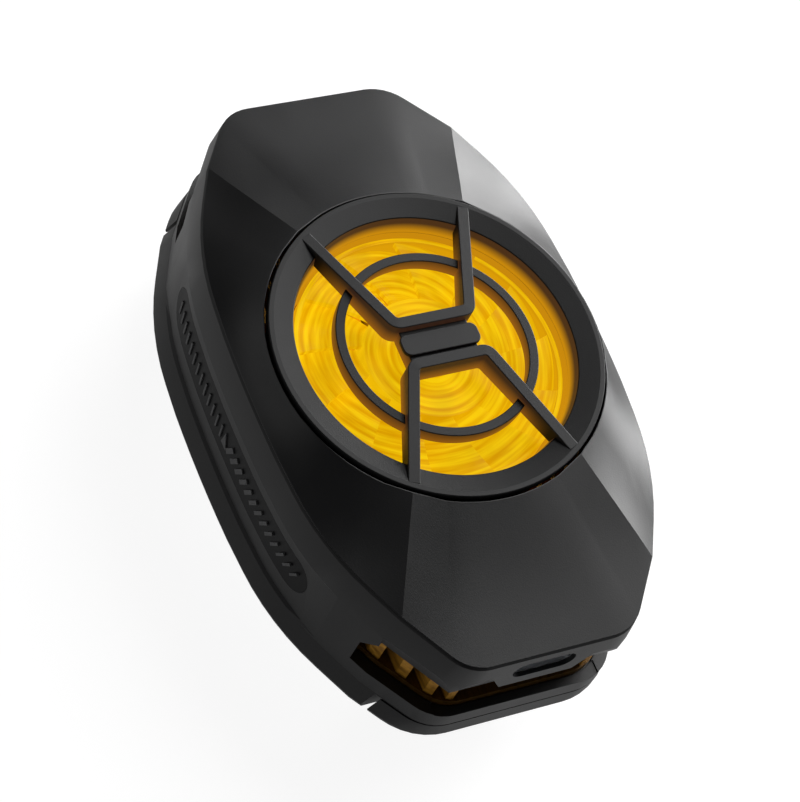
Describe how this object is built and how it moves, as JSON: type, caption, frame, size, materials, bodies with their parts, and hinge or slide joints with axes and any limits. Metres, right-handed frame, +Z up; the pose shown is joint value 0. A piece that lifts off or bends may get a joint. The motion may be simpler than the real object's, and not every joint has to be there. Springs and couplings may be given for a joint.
{
  "type": "phone cooling fan",
  "caption": "Clip-on phone cooler: faceted black housing with a round intake grille over a yellow fan, finned heat sink, end vents, cold plate and sprung clamp jaws.",
  "frame": {"origin": "centre of the plane that the claws stand on, below the fan's axis", "axes": "+X across the body, +Y along the clamping direction away from the charging socket, +Z up through the fan's axis to the intake grille"},
  "size_m": [0.0552, 0.0864, 0.0375],
  "materials": {
    "shell": "fine matt moulding, near black",
    "grille": "matt moulding, dark grey",
    "inlay": "matt strip with raised marks",
    "fan": "bright yellow moulding",
    "sink": "amber anodised",
    "cold": "smooth, bare",
    "steel": "plated",
    "soft": "soft, matt",
    "board": "solder mask",
    "ceramic": "white ceramic plates",
    "copper": "enamelled wire, sintered bronze",
    "magnet": "pressed ferrite"
  },
  "bodies": {
    "housing": {"top_lid": "shell", "intake_grille": "grille", "centre_plate": "grille", "mid_housing": "shell", "left_inlay": "inlay", "right_inlay": "inlay", "rear_cover": "shell", "case_screws": "steel", "cold_plate": "cold", "insulation_frame": "soft", "tec_module": "ceramic", "heat_sink": "sink", "board_pad": "soft", "main_board": "board", "usb_socket": "steel", "fan_frame": "grille", "stator_core": "steel", "stator_coils": "copper", "bearing_bush": "copper", "front_springs": "steel", "rear_springs": "steel"},
    "fan": {"impeller": "fan", "rotor_magnet": "magnet", "shaft": "steel"},
    "front_clamp": {"front_jaw": "shell", "front_pad": "soft"},
    "rear_clamp": {"rear_jaw": "shell", "rear_pad": "soft"}
  },
  "joints": [
    {"name": "fan_spin", "type": "hinge", "parent": "housing", "child": "fan", "pos_m": [0, 0, 0.0265], "axis": [0, 0, 1], "continuous": true},
    {"name": "front_jaw_slide", "type": "slide", "parent": "housing", "child": "front_clamp", "axis": [0, -1, 0], "range_m": [0, 0.01], "stiffness_N_per_m": 400, "springref_m": -0.01, "deforming": ["front_springs"]},
    {"name": "rear_jaw_slide", "type": "slide", "parent": "housing", "child": "rear_clamp", "axis": [0, 1, 0], "range_m": [0, 0.01], "stiffness_N_per_m": 400, "springref_m": -0.01, "deforming": ["rear_springs"]}
  ]
}
